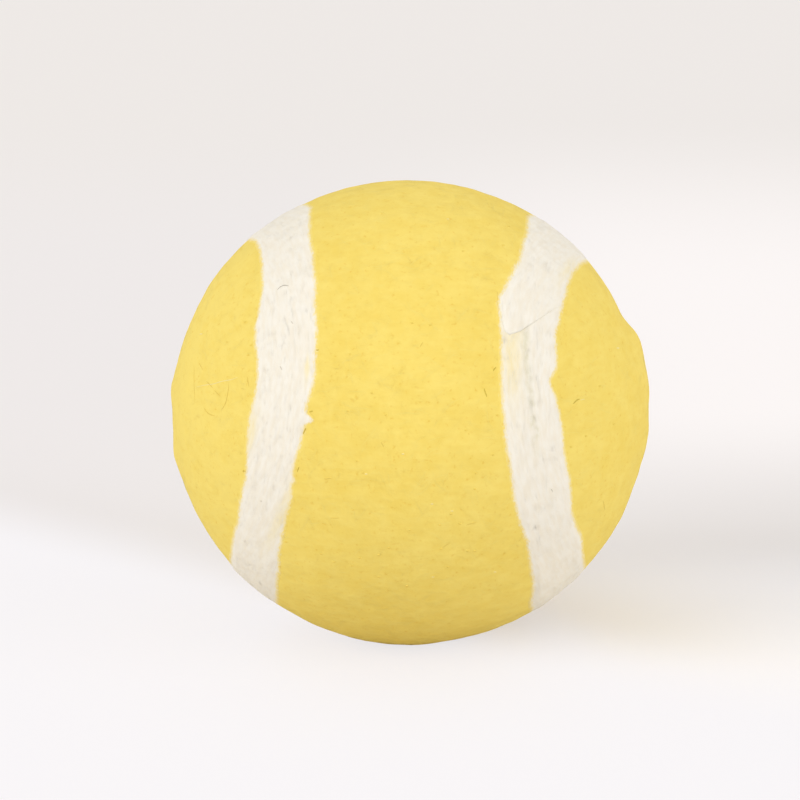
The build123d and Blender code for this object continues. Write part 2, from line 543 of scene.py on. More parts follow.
# Yellow wool: sizes of its noises, what each gives to tone and relief, and tones where colours change
LEVEL_SQUEEZE = (0.45, 0.45, 1.3)  # draws streaks out level
YELLOW_STREAK_MM = 0.9
YELLOW_SPECK_MM = 0.6
YELLOW_PATCH_MM = 2.6
YELLOW_FIELD_MM = 14.0
PAINTED_LIGHT_SIDE_MM = (-17.0, -34.0)  # X, from the plain wool to the paler left side: painted light from the left
YELLOW_TONE_SHARES = (0.3, 0.15, 0.35, 0.2, 0.13)  # streaks, specks, patches, fields, painted light on the left side
YELLOW_RELIEF_SHARES = (0.4, 0.5, 0.9)  # streaks, specks, patches
YELLOW_TONES = (0.39, 0.61)  # from the plain to the pale yellow
YELLOW_PIT_SHADE_TONES = (0.38, 0.24)  # from no painted pit shade to a full one
YELLOW_PIT_SHADE_STRENGTH = 1.3  # less the patches' tone
YELLOW_BUMP = 0.42

# Cream wool: its combed noises, its ragged edge, its thin places and the painted shade along its parting
COMB_STRETCH = 0.28  # how far the combed noise moves on for each millimetre along a strip
COMB_DRIFT = 0.02  # the same in the noise's third direction
STRANDS_PER_MM = 1.6
STRAND_DETAIL = 4.0
FINE_STRANDS_PER_MM = 6.0
CREAM_TONES = (0.35, 0.62)  # from the plain to the pale cream
CREAM_SHADE_TONES = (0.38, 0.22)  # from no shade to a full one
CREAM_SHADE_SHARE = 0.2
RAGGED_CLOUD_MM = 0.35
RAGGED_REACH_MM = (0.9, 0.5)  # how far fine strands and clouds move the cream's edge
CREAM_EDGE_MM = (-0.34, 0.50)  # inwards from its edge, over which the cream covers the yellow
VEIL_STRENGTH = 1.4  # less the strands' tone
BLOTCH_MM = 1.1
BLOTCH_TONES = (0.42, 0.62)  # from none to a full one
PARTING_SHADE_SHARES = (0.15, 0.5)  # of painted shade grey in the parting, everywhere and in its blotches
CREAM_RELIEF_SHARES = (0.6, 0.2, 0.3)  # strands, fine strands, felt
CREAM_BUMP = 0.1

# Undyed wool
UNDYED_CLOUD_MM = 1.2
UNDYED_DETAIL = 4.0
UNDYED_BUMP_MM = 0.3
UNDYED_BUMP = 0.6


def new_material(name):
    """Wool material, the wire for its nodes and its shader."""
    material = bpy.data.materials.new(name)
    material.use_nodes = True
    shader = material.node_tree.nodes["Principled BSDF"]
    shader.inputs["Roughness"].default_value = WOOL_ROUGHNESS
    shader.inputs["Specular IOR Level"].default_value = WOOL_SPECULAR
    return material, Wire(material.node_tree), shader


def felt_sheen(shader, tint):
    """Soft bloom of the fibre ends at grazing angles."""
    shader.inputs["Sheen Weight"].default_value = SHEEN_WEIGHT
    shader.inputs["Sheen Roughness"].default_value = SHEEN_ROUGHNESS
    shader.inputs["Sheen Tint"].default_value = tint


def object_place(nodes):
    """Place on the piece, in metres."""
    return nodes.node("ShaderNodeTexCoord", {}, {}, "Object")


def ramp(nodes, value, ends, kind="LINEAR"):
    """0 up to the first end, 1 from the second on, and a slope between."""
    return nodes.node(
        "ShaderNodeMapRange", {"interpolation_type": kind},
        {"Value": value, "From Min": ends[0], "From Max": ends[1]},
    )


def blend(wires, shares):
    """Sum of wires, each times its share."""
    total = wires[0] * shares[0]
    for wire, share in zip(wires[1:], shares[1:]):
        total = total + wire * share
    return total


def cloud(nodes, place, size, detail=2.0):
    """Soft noise with patches of about a size, from 0 to 1."""
    return nodes.node(
        "ShaderNodeTexNoise", {}, {"Vector": place, "Scale": 1.0 / size, "Detail": detail}, "Fac"
    )


def level_place(nodes, place):
    """Place squeezed so that noise on it runs in level streaks round the ball."""
    return nodes.node(
        "ShaderNodeMapping", {"vector_type": "POINT"}, {"Vector": place, "Scale": LEVEL_SQUEEZE}
    )


def yellow_parts(nodes):
    """Colour and felt height of the yellow wool at each place, with painted shade in its pits and painted
    light on its left side.
    """
    place = object_place(nodes)
    streaks = cloud(nodes, level_place(nodes, place), YELLOW_STREAK_MM * MM, FELT_DETAIL)
    specks = cloud(nodes, place, YELLOW_SPECK_MM * MM, FELT_DETAIL)
    patches = cloud(nodes, place, YELLOW_PATCH_MM * MM, FELT_DETAIL)
    fields = cloud(nodes, place, YELLOW_FIELD_MM * MM)
    rightward = nodes.node("ShaderNodeSeparateXYZ", {}, {"Vector": place}, "X")
    # painted light: the wool is painted paler towards the left side, where the lamp falls
    painted_light_side = ramp(nodes, rightward, [end * MM for end in PAINTED_LIGHT_SIDE_MM])
    tone = blend((streaks, specks, patches, fields, painted_light_side), YELLOW_TONE_SHARES)
    paler = nodes.mixed(ramp(nodes, tone, YELLOW_TONES), YELLOW, YELLOW_PALE)
    # painted shade: darker specks where the felt has pits
    pit_shade = ramp(nodes, specks, YELLOW_PIT_SHADE_TONES) * (YELLOW_PIT_SHADE_STRENGTH - patches)
    shaded = nodes.mixed(pit_shade, paler, YELLOW_PIT_SHADE)
    return shaded, blend((streaks, specks, patches), YELLOW_RELIEF_SHARES)


def join_bump(nodes, shader, height, distance, strength):
    """Fine relief on a shader's normal."""
    normal = nodes.node(
        "ShaderNodeBump", {}, {"Height": height, "Distance": distance, "Strength": strength}, "Normal"
    )
    nodes.tree.links.new(normal.socket, shader.inputs["Normal"])


def yellow_wool():
    """Coat: butter-yellow wool felted smooth, with level streaks of fibre."""
    material, nodes, shader = new_material("yellow_wool_felt")
    felt_sheen(shader, YELLOW_PALE)
    tint, height = yellow_parts(nodes)
    nodes.tree.links.new(tint.socket, shader.inputs["Base Color"])
    join_bump(nodes, shader, height, FELT_BUMP_MM * MM, YELLOW_BUMP)
    return material


def named_value(nodes, name):
    """Value that the mesh carries on its points."""
    return nodes.node("ShaderNodeAttribute", {"attribute_name": name}, {}, "Fac")


def combed_strands(nodes, combed, strands_per_mm, detail):
    """Noise in strands along a strip, from 0 to 1."""
    return nodes.node(
        "ShaderNodeTexNoise", {}, {"Vector": combed, "Scale": strands_per_mm, "Detail": detail}, "Fac"
    )


def cream_wool():
    """Band: cream wool combed along the strip, thinning out into the yellow at its ragged edges, with grey
    painted shade along its parting.
    """
    material, nodes, shader = new_material("cream_wool_strip")
    felt_sheen(shader, CREAM_PALE)
    along = named_value(nodes, "along_mm")
    across = named_value(nodes, "across_mm")
    combed = nodes.node(
        "ShaderNodeCombineXYZ", {}, {"X": along * COMB_STRETCH, "Y": across, "Z": along * COMB_DRIFT}
    )
    strands = combed_strands(nodes, combed, STRANDS_PER_MM, STRAND_DETAIL)
    fine = combed_strands(nodes, combed, FINE_STRANDS_PER_MM, FELT_DETAIL)
    paler = nodes.mixed(ramp(nodes, strands, CREAM_TONES), CREAM, CREAM_PALE)
    shade = ramp(nodes, fine, CREAM_SHADE_TONES)
    cream = nodes.mixed(shade * CREAM_SHADE_SHARE, paler, CREAM_SHADE)
    veiled = nodes.mixed(named_value(nodes, "veil") * (VEIL_STRENGTH - strands), cream, YELLOW_PALE)
    blotches = ramp(nodes, cloud(nodes, object_place(nodes), BLOTCH_MM * MM), BLOTCH_TONES)
    everywhere, in_blotches = PARTING_SHADE_SHARES
    parting_shade_mask = named_value(nodes, "parting_shade") * (everywhere + blotches * in_blotches)
    parting_shaded = nodes.mixed(parting_shade_mask, veiled, PARTING_SHADE_GREY)

    yellow, felt = yellow_parts(nodes)
    ragged = cloud(nodes, object_place(nodes), RAGGED_CLOUD_MM * MM, FELT_DETAIL)
    strand_reach, cloud_reach = RAGGED_REACH_MM
    edge = named_value(nodes, "edge_mm") + (fine - MIDDLE_TONE) * strand_reach
    ragged_edge = edge + (ragged - MIDDLE_TONE) * cloud_reach
    cover = ramp(nodes, ragged_edge, CREAM_EDGE_MM, "SMOOTHSTEP")
    tinted = nodes.mixed(cover, yellow, parting_shaded)
    nodes.tree.links.new(tinted.socket, shader.inputs["Base Color"])
    relief = blend((strands, fine, felt), CREAM_RELIEF_SHARES)
    join_bump(nodes, shader, relief, FELT_BUMP_MM * MM, CREAM_BUMP)
    return material


def fibre_wool(name, dark, pale, felted=True):
    """Fibres, each a little lighter or darker. Felted ones take the light as the ball under them does."""
    material, nodes, shader = new_material(name)
    felt_sheen(shader, pale)
    tint = nodes.mixed(named_value(nodes, "tone"), dark, pale)
    nodes.tree.links.new(tint.socket, shader.inputs["Base Color"])
    if felted:
        from_middle = nodes.vector("SUBTRACT", object_place(nodes), tuple(CENTRE))
        outward = nodes.vector("NORMALIZE", from_middle)
        nodes.tree.links.new(outward.socket, shader.inputs["Normal"])
    return material


def single_wool(name, tint):
    """One even colour, for a single thread or hair."""
    material, _, shader = new_material(name)
    shader.inputs["Base Color"].default_value = tint
    return material


def undyed_wool():
    """Inside: coarse undyed wool."""
    material, nodes, shader = new_material("undyed_wool_fill")
    felt_sheen(shader, UNDYED)
    place = object_place(nodes)
    tone = cloud(nodes, place, UNDYED_CLOUD_MM * MM, UNDYED_DETAIL)
    tint = nodes.mixed(tone, UNDYED_SHADE, UNDYED)
    nodes.tree.links.new(tint.socket, shader.inputs["Base Color"])
    join_bump(nodes, shader, tone, UNDYED_BUMP_MM * MM, UNDYED_BUMP)
    return material


# Fibres


FIBRE_SIDES = 3
FIBRE_FLATNESS = 0.4  # height of a fibre's section for each width
FIBRE_POINTS = 8  # along each fibre
FIBRE_LENGTH_SHARES = (0.45, 1.3)  # shortest and longest
FIBRE_TAPER = 0.75  # share of its width that a fibre loses at its ends
FIBRE_BENDS = 1.2  # for each length
BEND_SPREAD = 50.0  # parts the bends of fibres of different tones
LOOSE_POWER = 8.0  # more leaves fewer fibres standing off the skin

# Fibres on each wool: how many on a square metre, sizes in metres, stray from the grain in radians
UNDYED_STRANDS = {
    "Density": 3.0e5, "Length": 12.0 * MM, "Thickness": 0.3 * MM, "Curl": 4.0 * MM,
    "Lift": 0.1 * MM, "Stray": 0.3,
}
YELLOW_FIBRES = {
    "Density": 3.7e5, "Length": 3.6 * MM, "Thickness": 0.034 * MM, "Curl": 2.2 * MM,
    "Lift": 0.01 * MM, "Stray": 1.2,
}
CREAM_FIBRES = {
    "Density": 1.6e6, "Length": 4.0 * MM, "Thickness": 0.028 * MM, "Curl": 1.6 * MM,
    "Lift": 0.01 * MM, "Stray": 0.35,
}
YELLOW_FIBRE_PIECES = 2  # so that each has few enough triangles
YELLOW_SEED = SEED + 20
CREAM_SEED = SEED + 40


def fibre_tree():
    """Geometry tree that lays short bent fibres on a surface, along its grain."""
    tree = bpy.data.node_groups.new("laid_fibres", "GeometryNodeTree")
    wanted = (
        ("Surface", "NodeSocketGeometry"), ("Density", "NodeSocketFloat"), ("Seed", "NodeSocketInt"),
        ("Length", "NodeSocketFloat"), ("Thickness", "NodeSocketFloat"), ("Curl", "NodeSocketFloat"),
        ("Lift", "NodeSocketFloat"), ("Stray", "NodeSocketFloat"), ("Wool", "NodeSocketMaterial"),
    )
    for name, kind in wanted:
        tree.interface.new_socket(name=name, in_out="INPUT", socket_type=kind)
    tree.interface.new_socket(name="Fibres", in_out="OUTPUT", socket_type="NodeSocketGeometry")
    nodes = Wire(tree)
    entry = nodes.node("NodeGroupInput", {}, {})
    given = {name: entry.other(name) for name, _ in wanted}

    share = nodes.node("GeometryNodeInputNamedAttribute", {"data_type": "FLOAT"}, {"Name": "fibre_share"})
    points = nodes.node(
        "GeometryNodeDistributePointsOnFaces", {"distribute_method": "RANDOM"},
        {"Mesh": given["Surface"], "Density": given["Density"] * share, "Seed": given["Seed"]}, "Points",
    )
    grain = nodes.node("GeometryNodeInputNamedAttribute", {"data_type": "FLOAT_VECTOR"}, {"Name": "grain"})
    combed = nodes.node(
        "FunctionNodeAlignRotationToVector", {"axis": "X", "pivot_axis": "Z"},
        {"Rotation": points.other("Rotation"), "Vector": grain},
    )
    stray = nodes.node(
        "FunctionNodeRandomValue", {"data_type": "FLOAT"},
        {2: given["Stray"] * -1.0, 3: given["Stray"], "Seed": given["Seed"]}, 1,
    )
    swing = nodes.node("FunctionNodeAxisAngleToRotation", {}, {"Axis": (0.0, 0.0, 1.0), "Angle": stray})
    laid = nodes.node(
        "FunctionNodeRotateRotation", {"rotation_space": "LOCAL"}, {"Rotation": combed, "Rotate By": swing}
    )
    shortest, longest = (given["Length"] * length_share for length_share in FIBRE_LENGTH_SHARES)
    length_seed = given["Seed"] + 1.0
    stretch = nodes.node(
        "FunctionNodeRandomValue", {"data_type": "FLOAT"}, {2: shortest, 3: longest, "Seed": length_seed}, 1
    )
    line = nodes.node(
        "GeometryNodeCurvePrimitiveLine", {}, {"Start": (-0.5, 0.0, 0.0), "End": (0.5, 0.0, 0.0)}
    )
    pieces = nodes.node("GeometryNodeResampleCurve", {}, {"Curve": line, "Count": FIBRE_POINTS})
    fibres = nodes.node(
        "GeometryNodeInstanceOnPoints", {},
        {"Points": points, "Instance": pieces, "Rotation": laid, "Scale": stretch},
    )
    tone_seed = given["Seed"] + 2.0
    tone = nodes.node(
        "FunctionNodeRandomValue", {"data_type": "FLOAT"}, {2: 0.0, 3: 1.0, "Seed": tone_seed}, 1
    )
    toned = nodes.node(
        "GeometryNodeStoreNamedAttribute", {"data_type": "FLOAT", "domain": "INSTANCE"},
        {"Geometry": fibres, "Name": "tone", "Value": tone},
    )
    strands = nodes.node("GeometryNodeRealizeInstances", {}, {"Geometry": toned})

    own_tone = nodes.node("GeometryNodeInputNamedAttribute", {"data_type": "FLOAT"}, {"Name": "tone"})
    bends = nodes.node(
        "ShaderNodeTexNoise", {"noise_dimensions": "4D"},
        {"W": own_tone * BEND_SPREAD, "Scale": FIBRE_BENDS / given["Length"], "Detail": 0.0}, "Color",
    )
    bent = nodes.vector("SUBTRACT", bends, (MIDDLE_TONE,) * 3).scaled(given["Curl"])
    curled = nodes.node("GeometryNodeSetPosition", {}, {"Geometry": strands, "Offset": bent})

    touch = nodes.node(
        "GeometryNodeProximity", {"target_element": "FACES"}, {0: given["Surface"]}, "Position"
    )
    outward = nodes.vector("NORMALIZE", nodes.vector("SUBTRACT", touch, tuple(CENTRE)))
    share_along = nodes.node("GeometryNodeSplineParameter", {}, {}, "Factor")
    from_middle = (share_along * 2.0 - 1.0) ** 2.0
    rise = given["Lift"] * own_tone ** LOOSE_POWER * (1.0 - from_middle)
    raised = nodes.vector("ADD", touch, outward.scaled(rise))
    settled = nodes.node("GeometryNodeSetPosition", {}, {"Geometry": curled, "Position": raised})
    upright = nodes.node(
        "GeometryNodeSetCurveNormal", {"mode": "FREE"}, {"Curve": settled, "Normal": outward}
    )
    ring = nodes.node(
        "GeometryNodeCurvePrimitiveCircle", {"mode": "RADIUS"}, {"Resolution": FIBRE_SIDES, "Radius": 1.0}
    )
    pressed = nodes.node(
        "GeometryNodeTransform", {}, {"Geometry": ring, "Scale": (FIBRE_FLATNESS, 1.0, 1.0)}
    )
    taper = given["Thickness"] * 0.5 * (1.0 - from_middle * FIBRE_TAPER)
    solid = nodes.node(
        "GeometryNodeCurveToMesh", {},
        {"Curve": upright, "Profile Curve": pressed, "Scale": taper, "Fill Caps": True},
    )
    real = nodes.node("GeometryNodeRealizeInstances", {}, {"Geometry": solid})
    painted = nodes.node("GeometryNodeSetMaterial", {}, {"Geometry": real, "Material": given["Wool"]})
    leave = tree.nodes.new("NodeGroupOutput")
    tree.links.new(painted.socket, leave.inputs["Fibres"])
    return tree


def lay_fibres(tree, surface, name, material, seed, sizes):
    """Fibres laid on a piece's surface, as a plain mesh piece of their own."""
    carrier = surface.copy()
    bpy.context.scene.collection.objects.link(carrier)
    modifier = carrier.modifiers.new("fibres", "NODES")
    modifier.node_group = tree
    sockets = {item.name: item.identifier for item in tree.interface.items_tree if item.in_out == "INPUT"}
    for key, value in {**sizes, "Seed": seed, "Wool": material}.items():
        modifier[sockets[key]] = value
    evaluated = carrier.evaluated_get(bpy.context.evaluated_depsgraph_get())
    mesh = bpy.data.meshes.new_from_object(evaluated)
    bpy.data.objects.remove(carrier)
    mesh.name = name
    mesh.shade_smooth()
    piece = bpy.data.objects.new(name, mesh)
    bpy.context.scene.collection.objects.link(piece)
    return piece


# The pieces


def yellow_coat(material):
    """Coat with the groove that the band lies in, closed by its inner skin."""
    directions, quads = cube_ball(COAT_STEPS)
    turns, across = nearest_on_band(directions)
    inner, outer = band_edges(turns)
    inside = np.minimum(inner - across, across + outer)
    skin = on_skin(directions, -(GROOVE_DEPTH_MM * smooth(inside / GROOVE_WALL_MM)))
    core_directions, core_quads = cube_ball(INNER_STEPS)
    lining = on_skin(core_directions, np.full(len(core_directions), -COAT_MM))
    points, faces = shell((skin, quads), (lining, core_quads))
    furred = smooth(1.0 - (inside + YELLOW_FIBRE_CLEAR_MM) / FIBRE_FADE_MM)
    attributes = {
        "fibre_share": np.concatenate([furred, np.zeros(len(lining))]),
        "grain": grain_about(Z_AXIS, np.concatenate([directions, core_directions])),
    }
    return new_object("yellow_wool_coat", points, faces, material, attributes)


def tongue_line(across_mm):
    """Where the tongue of a strip ends, in mm along from the lap's middle."""
    places, ends = zip(*TONGUE)
    return np.interp(across_mm, places, ends)


def strip_laps(node):
    """Lengths along the seam line to the middles of a strip's first and last lap."""
    names = list(LAP_SHARES)
    following = names[(names.index(node) + 1) % len(names)]
    first_lap = arc_at(LAP_SHARES[node] * FULL_TURN)
    last_lap = arc_at(LAP_SHARES[following] * FULL_TURN)
    if last_lap < first_lap:
        last_lap += BAND_LENGTH_MM
    return first_lap, last_lap


def strip_grid(first_lap, last_lap):
    """Places along and across a strip, in rows that follow the tongue's outline at its first end."""
    first = first_lap - LAP_MM / 2
    last = last_lap + LAP_MM / 2
    rows = math.ceil((last - first) / ALONG_STEP_MM)
    stations = np.linspace(first, last, rows + 1)
    columns = np.linspace(0.0, 1.0, ACROSS_STEPS + 1)
    base, column = np.meshgrid(stations, columns, indexing="ij")
    inner, outer = band_edges(turn_at(base))
    across = -(outer + MARGIN_MM) + column * (inner + outer + 2 * MARGIN_MM)
    straighten = smooth(1.0 - (base - first) / TONGUE_FADE_MM)
    along = base + (tongue_line(across) + LAP_MM / 2) * straighten
    return along, across


def combed_ridges(along, across):
    """Height of the ridges that combing leaves along a strip, in mm."""
    ridge_length, ridge_width = COMB_SIZE_MM
    places = np.stack([along / ridge_length, across / ridge_width, np.full_like(along, SEED)], axis=-1)
    return waves(places.reshape(-1, 3), COMB_RIDGES).reshape(along.shape)


def parting(along, across, last_lap):
    """1 in the middle of the parting before a strip's last lap, 0 away from it."""
    places, offsets = zip(*PARTING)
    from_lap = along - last_lap
    wander = waves(np.stack([along.ravel(), *np.zeros((2, along.size))], axis=-1), PARTING_WAVES_MM)
    line = np.interp(from_lap, places, offsets) + wander.reshape(along.shape)
    gap = np.exp(-((across - line) / PARTING_HALF_MM) ** 2)
    opening = smooth((from_lap - places[0]) / PARTING_OPENS_MM)
    closing = smooth((places[-1] + PARTING_CLOSES_MM - from_lap) / PARTING_CLOSES_MM)
    return gap * (opening * closing)


def thin_cream(node, along, across):
    """How much of the yellow shows through a strip at each place."""
    veil = np.zeros_like(along)
    for strip, turn, veil_across, half_length, half_width, share in VEILS:
        if strip == node:
            from_veil = along - arc_at(turn % FULL_TURN) - BAND_LENGTH_MM * (turn // FULL_TURN)
            sideways = (across - veil_across) / half_width
            veil += share * np.exp(-(from_veil / half_length) ** 2 - sideways ** 2)
    return veil


def slab_faces(shape):
    """Quads of a closed body between an upper and a lower grid of points."""
    count = math.prod(shape)
    index = np.arange(count).reshape(shape)
    corners = (index[:-1, :-1], index[:-1, 1:], index[1:, 1:], index[1:, :-1])
    upper = np.stack(corners, axis=-1).reshape(-1, 4)
    lower = upper[:, ::-1] + count
    rim = np.concatenate([index[0, :-1], index[:-1, -1], index[-1, :0:-1], index[:0:-1, 0]])
    following_rim = np.roll(rim, -1)
    wall = np.stack([following_rim, rim, rim + count, following_rim + count], axis=-1)
    return np.concatenate([upper, lower, wall])


def cream_strip(node, material):
    """One strip of the band: its tongue lies on the strip before, its last end goes under the next."""
    first_lap, last_lap = strip_laps(node)
    along, across = strip_grid(first_lap, last_lap)
    turns = turn_at(along)
    inner, outer = band_edges(turns)
    inside = np.minimum(inner - across, across + outer)
    from_tongue = along - (first_lap + tongue_line(across))
    past_next_tongue = along - (last_lap + tongue_line(across))
    gap = parting(along, across, last_lap) * float(node == PARTING_STRIP)
    veil = thin_cream(node, along, across)

    felted = smooth(inside / EDGE_RISE_MM)
    sinking = smooth((from_tongue - TONGUE_BACK_MM) / TONGUE_SINK_MM)
    rising = smooth(from_tongue / TONGUE_EDGE_MM) * (1.0 - sinking)
    film = (FILM_MM + DIVE_MM) * smooth((inside + MARGIN_MM) / DIVE_WIDTH_MM) - DIVE_MM
    level = film + felted * (CROWN_MM + combed_ridges(along, across))
    half_depth = STRIP_DEPTH_MM / 2
    top = level + felted * (TONGUE_RISE_MM * rising - PARTING_DEPTH_MM * gap - VEIL_DIP_MM * veil)
    top -= felted * half_depth * smooth(past_next_tongue / LAP_FEATHER_MM)
    belly = smooth((inside - BELLY_START_MM) / BELLY_WIDTH_MM) * STRIP_DEPTH_MM
    bottom = film - FILM_MM * RIM_SHARE - belly
    lap_floor = np.maximum(level - felted * half_depth * smooth(from_tongue / LAP_FEATHER_MM), bottom)
    bottom += (lap_floor - bottom) * (1.0 - smooth((from_tongue - LAP_MM) / LAP_STEP_MM))
    top = np.maximum(top, bottom + FILM_MM / 2)

    directions = band_direction(turns, across).reshape(-1, 3)
    points = np.concatenate([on_skin(directions, top.ravel()), on_skin(directions, bottom.ravel())])
    # the parting's mask also carries the painted grey shade along it
    values = {"along_mm": along, "across_mm": across, "edge_mm": inside, "veil": veil, "parting_shade": gap}
    attributes = {key: np.tile(value.ravel(), 2) for key, value in values.items()}
    furred = smooth((inside + CREAM_FIBRE_REACH_MM) / FIBRE_FADE_MM)
    furred *= 1.0 - smooth(past_next_tongue / FIBRE_FADE_MM)
    attributes["fibre_share"] = np.concatenate([furred.ravel(), np.zeros(along.size)])
    _, headings, _ = seam(turns.ravel())
    attributes["grain"] = np.concatenate([headings, headings])
    return new_object(STRIP_NAMES[node], points, slab_faces(along.shape), material, attributes)


def wound_layer(name, outer_depth, inner_depth, axis, material):
    """Layer of undyed wool wound about an axis, or the solid core where it has no inner depth."""
    directions, quads = cube_ball(WRAP_STEPS)
    along_axis = directions @ axis * RADIUS_MM / WINDING_MM
    drift = directions[:, :2] * RADIUS_MM / WINDING_RUN_MM
    ridges = waves(np.column_stack([along_axis, drift]), WINDING_RIDGES)
    points = on_skin(directions, ridges - WINDING_SINK_MM - outer_depth)
    share = np.ones(len(points))
    if inner_depth:
        lining_directions, lining_quads = cube_ball(INNER_STEPS)
        lining = on_skin(lining_directions, np.full(len(lining_directions), -inner_depth))
        points, quads = shell((points, quads), (lining, lining_quads))
        share = np.concatenate([share, np.zeros(len(lining))])
        directions = np.concatenate([directions, lining_directions])
    attributes = {"fibre_share": share, "grain": grain_about(axis, directions)}
    return new_object(name, points, quads, material, attributes)


def seen_at(pixel, carriers):
    """Place and normal of the piece that shows at a pixel of the picture."""
    scale = HALF_VIEW / (PICTURE_PIXELS / 2)
    across = (pixel[0] - BALL_PIXEL[0]) * scale
    upward = (BALL_PIXEL[1] - pixel[1]) * scale
    start = Vector(CENTRE + BACK * CAMERA_DISTANCE_MM * MM)
    heading = Vector(unit(RIGHT * across + UP * upward - BACK))
    hits = [carrier.ray_cast(start, heading) for carrier in carriers]
    _, place, normal, _ = min((hit for hit in hits if hit[0]), key=lambda hit: (hit[1] - start).length)
    return np.array(place), np.array(normal)


def bent_path(corners):
    """Pixels along a smooth line through a few corners."""
    corners = np.array(corners, dtype=float)
    steps = np.linspace(0.0, len(corners) - 1.0, THREAD_STEPS * (len(corners) - 1) + 1)
    numbers = np.arange(len(corners))
    line = np.stack([np.interp(steps, numbers, corners[:, axis]) for axis in (0, 1)], axis=-1)
    for _ in range(THREAD_STEPS):
        line[1:-1] = (line[:-2] + 2.0 * line[1:-1] + line[2:]) / 4.0
    return line


def laid_threads(name, paths, width_mm, material, carriers):
    """Single threads, hairs and strips of painted shade that lie on the felt, half sunk in it, thinning out
    at their ends.
    """
    ring = np.linspace(0.0, 2.0 * math.pi, THREAD_SIDES, endpoint=False)
    points = []
    faces = []
    for corners in paths:
        seen = [seen_at(pixel, carriers) for pixel in bent_path(corners)]
        places = np.array([place for place, _ in seen])
        normals = np.array([normal for _, normal in seen])
        sides = unit(np.cross(np.gradient(places, axis=0), normals))
        share = np.linspace(-1.0, 1.0, len(places))
        half_widths = width_mm * MM / 2 * (1.0 - THREAD_TAPER * share ** THREAD_TAPER_POWER)
        first = len(points) * THREAD_SIDES
        for place, normal, side, half_width in zip(places, normals, sides, half_widths):
            section = np.outer(np.cos(ring), side) + THREAD_FLATNESS * np.outer(np.sin(ring), normal)
            points.append(place + half_width * section)
        for row in range(len(places) - 1):
            start = first + row * THREAD_SIDES
            for column in range(THREAD_SIDES):
                following = (column + 1) % THREAD_SIDES
                faces.append((
                    start + column, start + following,
                    start + THREAD_SIDES + following, start + THREAD_SIDES + column,
                ))
        last = first + (len(places) - 1) * THREAD_SIDES
        faces.append(tuple(range(first + THREAD_SIDES - 1, first - 1, -1)))
        faces.append(tuple(range(last, last + THREAD_SIDES)))
    return new_object(name, np.concatenate(points), faces, material)


def short_marks(pixels):
    """Short level paths through single pixels."""
    return tuple(((x - MARK_HALF_PIXELS, y), (x + MARK_HALF_PIXELS, y)) for x, y in pixels)


def belongs(piece, slot, *nodes):
    """Ties a piece to the ball's body and hides the imported nodes that it stands for; the wool slot is not
    used.
    """
    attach(piece, "root")
    if nodes:
        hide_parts(*nodes)


def build_inside(tree):
    """Core and wraps of undyed wool, each with its strands."""
    undyed = undyed_wool()
    undyed_strand = fibre_wool("undyed_wool_strands", UNDYED_SHADE, UNDYED, felted=False)
    cross_depth = COAT_MM + WRAP_MM
    core_depth = cross_depth + WRAP_MM
    layers = (
        ("undyed_core", "core_ball", core_depth, None, Z_AXIS),
        ("undyed_first_wrap", "first_wrap", cross_depth, core_depth, X_AXIS),
        ("undyed_cross_wrap", "cross_wrap", COAT_MM, cross_depth, Z_AXIS),
    )
    for number, (name, node, outer_depth, inner_depth, axis) in enumerate(layers):
        layer = wound_layer(name, outer_depth + LAYER_GAP_MM, inner_depth, axis, undyed)
        belongs(layer, "undyed_wool", node)
        strands = lay_fibres(tree, layer, name + "_strands", undyed_strand, SEED + number, UNDYED_STRANDS)
        belongs(strands, "undyed_wool")


def build_coat(tree):
    """Coat of yellow wool with its fibres."""
    coat = yellow_coat(yellow_wool())
    belongs(coat, "yellow_wool", "yellow_cover")
    yellow_fibre = fibre_wool("yellow_wool_fibre", FIBRE_DEEP, FIBRE_PALE)
    for number in range(YELLOW_FIBRE_PIECES):
        name = f"yellow_fibres_{number + 1}"
        fuzz = lay_fibres(tree, coat, name, yellow_fibre, YELLOW_SEED + number, YELLOW_FIBRES)
        belongs(fuzz, "yellow_wool")
    return coat


def build_band(tree):
    """Strips of cream wool with their fibres."""
    cream = cream_wool()
    cream_fibre = fibre_wool("cream_wool_fibre", CREAM_DEEP, FIBRE_WHITE)
    strips = []
    for number, node in enumerate(LAP_SHARES):
        strip = cream_strip(node, cream)
        belongs(strip, "cream_wool", node)
        strips.append(strip)
        name = strip.name + "_fibres"
        fuzz = lay_fibres(tree, strip, name, cream_fibre, CREAM_SEED + number, CREAM_FIBRES)
        belongs(fuzz, "cream_wool")
    return strips


def build_marks(carriers):
    """Threads, flecks and hairs on the coat and the strips, and strips of painted shade in its creases and
    pits.
    """
    pale = single_wool("pale_yellow_thread", THREAD_PALE)
    # Name, slot, paths, width in mm, material
    marks = (
        ("pale_threads", "yellow_wool", PALE_THREADS, 0.14, pale),
        ("pale_flecks", "yellow_wool", short_marks(PALE_FLECKS), 0.22, pale),
        ("felt_crease_painted_shade", "yellow_wool", FELT_CREASES, 0.15, single_wool("soft_crease_shade_paint", CREASE_PAINTED_SHADE)),
        ("deep_crease_painted_shade", "yellow_wool", DEEP_CREASES, 0.18, single_wool("deep_crease_shade_paint", DEEP_CREASE_PAINTED_SHADE)),
        ("felt_pit_painted_shade", "yellow_wool", short_marks(FELT_PITS), 0.28, single_wool("pit_shade_paint", PIT_PAINTED_SHADE)),
        ("dark_hairs", "undyed_wool", DARK_HAIRS, 0.15, single_wool("grey_brown_hair", HAIR_DARK)),
        ("faint_hairs", "undyed_wool", FAINT_HAIRS, 0.15, single_wool("pale_grey_hair", HAIR_FAINT)),
    )
    for name, slot, paths, width_mm, material in marks:
        belongs(laid_threads(name, paths, width_mm, material, carriers), slot)


